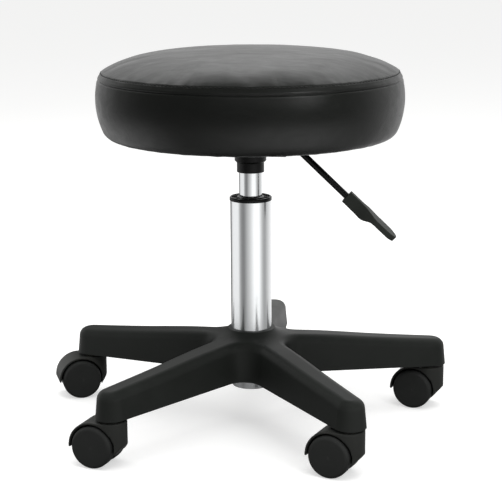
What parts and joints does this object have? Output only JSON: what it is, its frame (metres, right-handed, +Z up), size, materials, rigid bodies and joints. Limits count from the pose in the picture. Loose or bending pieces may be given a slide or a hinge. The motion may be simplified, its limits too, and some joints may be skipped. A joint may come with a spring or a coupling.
{
  "type": "adjustable swivel stool",
  "caption": "Round padded stool on a gas lift with a release lever, standing on a star base with hooded twin-wheel casters.",
  "frame": {"origin": "on the floor, under the axis of the column", "axes": "+Z up along the column; +Y along the back arm of the base; +X towards the release lever"},
  "size_m": [0.5115, 0.4702, 0.4635],
  "materials": {
    "base_nylon": "fine moulded texture",
    "chrome_tube": "bright plated",
    "chrome_rod": "hard chrome, polished",
    "bush_plastic": "moulded",
    "bearing_steel": "ground",
    "zinc_steel": "zinc plated",
    "rod_steel": "drawn",
    "aluminium_part": "turned",
    "seal_rubber": "moulded",
    "black_steel": "black powder coat",
    "lever_steel": "black, satin",
    "paddle_plastic": "moulded, satin",
    "hood_nylon": "moulded, satin",
    "wheel_nylon": "moulded, satin",
    "vinyl": "black grained vinyl, semi-gloss",
    "foam": "open-cell foam",
    "plywood": "bare plywood",
    "dust_fabric": "non-woven"
  },
  "bodies": {
    "base": {"star_base": "base_nylon", "outer_tube": "chrome_tube", "guide_bush": "bush_plastic", "lower_race": "bearing_steel", "caster_stems": "zinc_steel", "grip_rings": "zinc_steel"},
    "swivel": {"piston_rod": "rod_steel", "piston": "aluminium_part", "piston_seal": "seal_rubber", "bearing_balls": "bearing_steel", "ball_cage": "bush_plastic", "upper_race": "bearing_steel", "bumper": "seal_rubber", "rod_washer": "zinc_steel", "retaining_clip": "zinc_steel"},
    "lift": {"pressure_tube": "chrome_rod", "inner_tube": "rod_steel", "rod_guide": "aluminium_part", "rod_seal": "seal_rubber", "valve_body": "aluminium_part", "column_socket": "black_steel", "mechanism_housing": "black_steel", "seat_plate": "black_steel", "lever_pivot_pin": "zinc_steel", "pivot_clip": "zinc_steel", "seat_bolts": "zinc_steel", "spring_washers": "zinc_steel", "tee_nuts": "zinc_steel", "seat_board": "plywood", "seat_foam": "foam", "seat_cover": "vinyl", "dust_cover": "dust_fabric", "staples": "zinc_steel"},
    "release_pin": {"release_pin": "zinc_steel"},
    "lever": {"lever_rod": "lever_steel", "lever_paddle": "paddle_plastic"},
    "caster_back": {"caster_hood_back": "hood_nylon", "axle_back": "zinc_steel"},
    "wheel_back_1": {"wheel_back_1": "wheel_nylon"},
    "wheel_back_2": {"wheel_back_2": "wheel_nylon"},
    "caster_left": {"caster_hood_left": "hood_nylon", "axle_left": "zinc_steel"},
    "wheel_left_1": {"wheel_left_1": "wheel_nylon"},
    "wheel_left_2": {"wheel_left_2": "wheel_nylon"},
    "caster_front_left": {"caster_hood_front_left": "hood_nylon", "axle_front_left": "zinc_steel"},
    "wheel_front_left_1": {"wheel_front_left_1": "wheel_nylon"},
    "wheel_front_left_2": {"wheel_front_left_2": "wheel_nylon"},
    "caster_front_right": {"caster_hood_front_right": "hood_nylon", "axle_front_right": "zinc_steel"},
    "wheel_front_right_1": {"wheel_front_right_1": "wheel_nylon"},
    "wheel_front_right_2": {"wheel_front_right_2": "wheel_nylon"},
    "caster_right": {"caster_hood_right": "hood_nylon", "axle_right": "zinc_steel"},
    "wheel_right_1": {"wheel_right_1": "wheel_nylon"},
    "wheel_right_2": {"wheel_right_2": "wheel_nylon"}
  },
  "joints": [
    {"name": "seat_turn", "type": "hinge", "parent": "base", "child": "swivel", "pos_m": [0, 0, 0.0545], "axis": [0, 0, 1], "continuous": true},
    {"name": "seat_height", "type": "slide", "parent": "swivel", "child": "lift", "axis": [0, 0, 1], "range_m": [0, 0.12]},
    {"name": "lever_lift", "type": "hinge", "parent": "lift", "child": "lever", "pos_m": [0.03, 0, 0.3435], "axis": [0, -1, 0], "range_deg": [0, 6]},
    {"name": "valve_press", "type": "slide", "parent": "lift", "child": "release_pin", "axis": [0, 0, -1], "range_m": [0, 0.0032], "stiffness_N_per_m": 1500},
    {"name": "caster_turn_back", "type": "hinge", "parent": "base", "child": "caster_back", "pos_m": [0, 0.232, 0.0548], "axis": [0, 0, 1], "continuous": true},
    {"name": "wheel_roll_back_1", "type": "hinge", "parent": "caster_back", "child": "wheel_back_1", "pos_m": [-0.01773, 0.23513, 0.025], "axis": [-0.1736, -0.9848, 0], "continuous": true},
    {"name": "wheel_roll_back_2", "type": "hinge", "parent": "caster_back", "child": "wheel_back_2", "pos_m": [-0.01773, 0.23513, 0.025], "axis": [-0.1736, -0.9848, 0], "continuous": true},
    {"name": "caster_turn_left", "type": "hinge", "parent": "base", "child": "caster_left", "pos_m": [-0.22065, 0.07169, 0.0548], "axis": [0, 0, 1], "continuous": true},
    {"name": "wheel_roll_left_1", "type": "hinge", "parent": "caster_left", "child": "wheel_left_1", "pos_m": [-0.23728, 0.0648, 0.025], "axis": [0.3827, -0.9239, 0], "continuous": true},
    {"name": "wheel_roll_left_2", "type": "hinge", "parent": "caster_left", "child": "wheel_left_2", "pos_m": [-0.23728, 0.0648, 0.025], "axis": [0.3827, -0.9239, 0], "continuous": true},
    {"name": "caster_turn_front_left", "type": "hinge", "parent": "base", "child": "caster_front_left", "pos_m": [-0.13637, -0.18769, 0.0548], "axis": [0, 0, 1], "continuous": true},
    {"name": "wheel_roll_front_left_1", "type": "hinge", "parent": "caster_front_left", "child": "wheel_front_left_1", "pos_m": [-0.15384, -0.18337, 0.025], "axis": [-0.2402, -0.9707, 0], "continuous": true},
    {"name": "wheel_roll_front_left_2", "type": "hinge", "parent": "caster_front_left", "child": "wheel_front_left_2", "pos_m": [-0.15384, -0.18337, 0.025], "axis": [-0.2402, -0.9707, 0], "continuous": true},
    {"name": "caster_turn_front_right", "type": "hinge", "parent": "base", "child": "caster_front_right", "pos_m": [0.13637, -0.18769, 0.0548], "axis": [0, 0, 1], "continuous": true},
    {"name": "wheel_roll_front_right_1", "type": "hinge", "parent": "caster_front_right", "child": "wheel_front_right_1", "pos_m": [0.11929, -0.18201, 0.025], "axis": [-0.3156, -0.9489, 0], "continuous": true},
    {"name": "wheel_roll_front_right_2", "type": "hinge", "parent": "caster_front_right", "child": "wheel_front_right_2", "pos_m": [0.11929, -0.18201, 0.025], "axis": [-0.3156, -0.9489, 0], "continuous": true},
    {"name": "caster_turn_right", "type": "hinge", "parent": "base", "child": "caster_right", "pos_m": [0.22065, 0.07169, 0.0548], "axis": [0, 0, 1], "continuous": true},
    {"name": "wheel_roll_right_1", "type": "hinge", "parent": "caster_right", "child": "wheel_right_1", "pos_m": [0.20326, 0.07635, 0.025], "axis": [-0.2588, -0.9659, 0], "continuous": true},
    {"name": "wheel_roll_right_2", "type": "hinge", "parent": "caster_right", "child": "wheel_right_2", "pos_m": [0.20326, 0.07635, 0.025], "axis": [-0.2588, -0.9659, 0], "continuous": true}
  ],
  "couplings": [
    {"joint": "valve_press", "follows": "lever_lift", "m_per_rad": 0.03}
  ]
}
